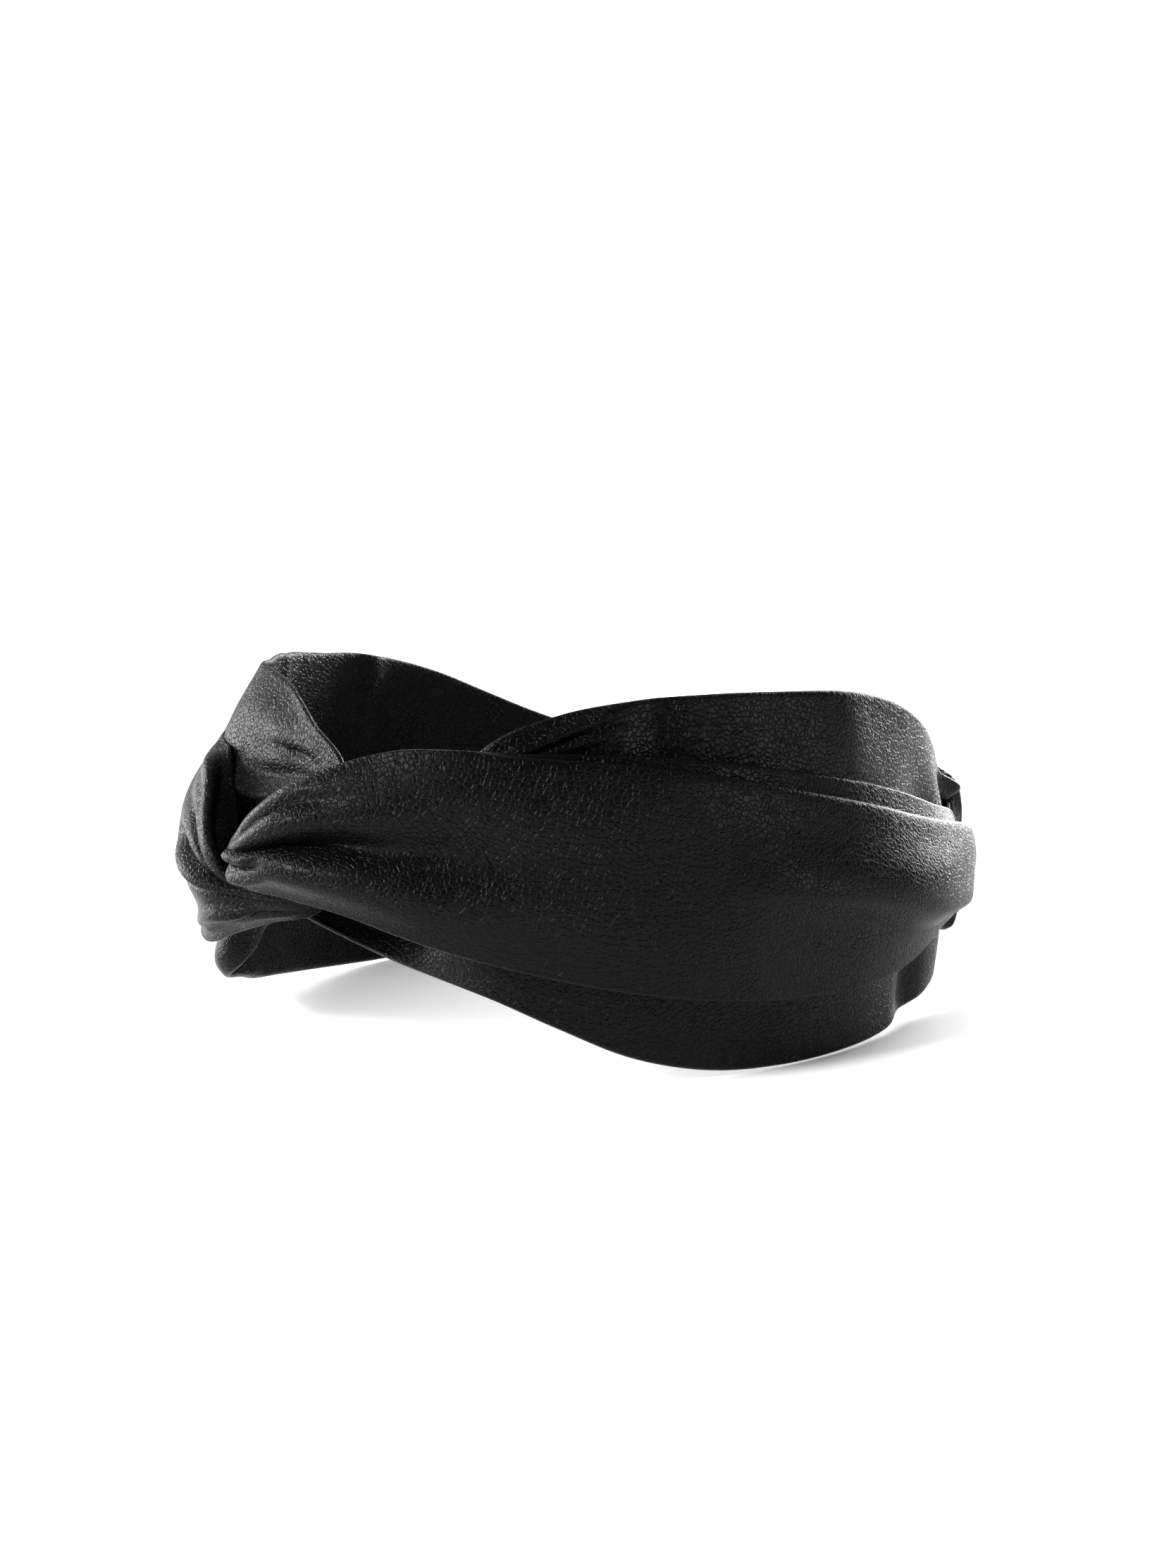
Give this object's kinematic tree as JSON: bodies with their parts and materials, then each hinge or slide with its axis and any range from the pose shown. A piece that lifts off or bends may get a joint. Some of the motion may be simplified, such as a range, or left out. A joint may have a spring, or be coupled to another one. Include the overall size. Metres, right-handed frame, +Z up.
{
  "type": "knotted headband",
  "caption": "Wide turban headband of soft black faux leather: each strap is folded double and linked at a front knot, with a covered elastic at the back.",
  "frame": {"origin": "on the table, below the middle of the headband's box", "axes": "+Z up, -Y towards the front knot, +Y towards the back elastic, +X towards the wearer's left"},
  "size_m": [0.1378, 0.1832, 0.0735],
  "materials": {
    "faux_leather": "soft black faux leather, fine pebbled grain, satin",
    "elastic": "black woven elastic",
    "thread": "black polyester sewing thread"
  },
  "bodies": {
    "knot": {"left_knot_loop": "faux_leather", "right_knot_loop": "faux_leather", "back_elastic": "elastic", "back_casing": "faux_leather"},
    "left_side": {"left_outer_leg": "faux_leather", "left_inner_leg": "faux_leather", "left_join_stitches": "thread"},
    "right_side": {"right_outer_leg": "faux_leather", "right_inner_leg": "faux_leather", "right_join_stitches": "thread"}
  },
  "joints": [
    {"name": "left_spread", "type": "hinge", "parent": "knot", "child": "left_side", "pos_m": [0.018, -0.0715, 0.041], "axis": [0, 0, -1], "range_deg": [-5, 11], "stiffness_Nm_per_rad": 0.6, "deforming": ["back_elastic", "back_casing"]},
    {"name": "right_spread", "type": "hinge", "parent": "knot", "child": "right_side", "pos_m": [-0.018, -0.0715, 0.041], "axis": [0, 0, 1], "range_deg": [-5, 11], "stiffness_Nm_per_rad": 0.6, "deforming": ["back_elastic", "back_casing"]}
  ]
}
